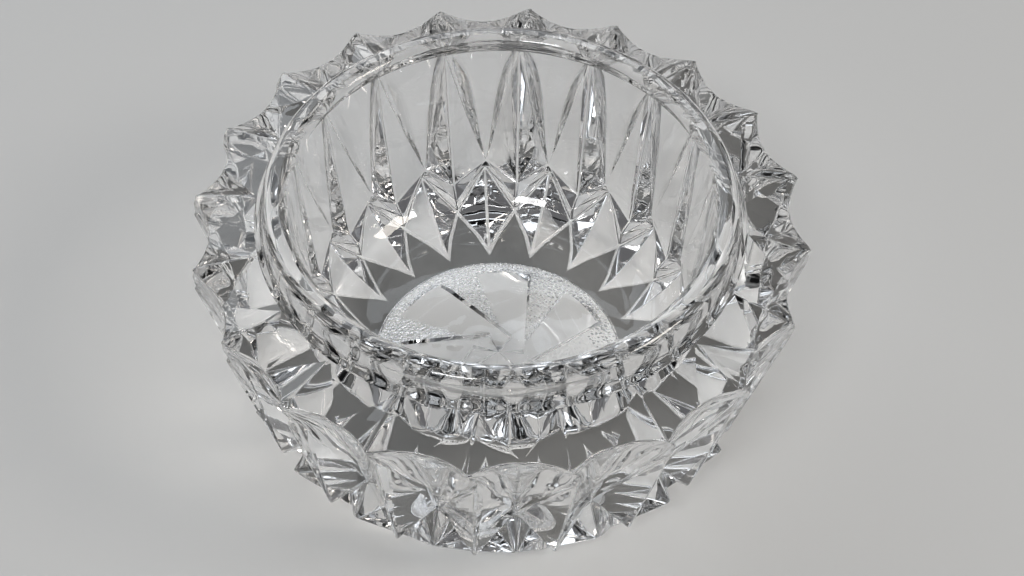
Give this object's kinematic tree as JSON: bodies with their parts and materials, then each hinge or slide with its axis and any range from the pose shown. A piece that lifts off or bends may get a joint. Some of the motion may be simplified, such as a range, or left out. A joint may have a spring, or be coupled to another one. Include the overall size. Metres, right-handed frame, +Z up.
{
  "type": "open salt cellar",
  "caption": "Round open salt dish of clear pressed glass with a smooth hollow, a rounded lip, a scalloped shoulder, kite-shaped facets and a star-shaped foot",
  "frame": {"origin": "middle of the star-shaped foot, on the table plane", "axes": "+Z up along the dish's centre line; +X through a tip of the shoulder; +Y completes the right-handed frame"},
  "size_m": [0.064, 0.064, 0.0305],
  "materials": {
    "clear_glass": "clear colourless pressed crystal glass, fire-polished facets and a smooth hollow"
  },
  "bodies": {
    "root": {"glass_dish": "clear_glass"}
  },
  "joints": []
}
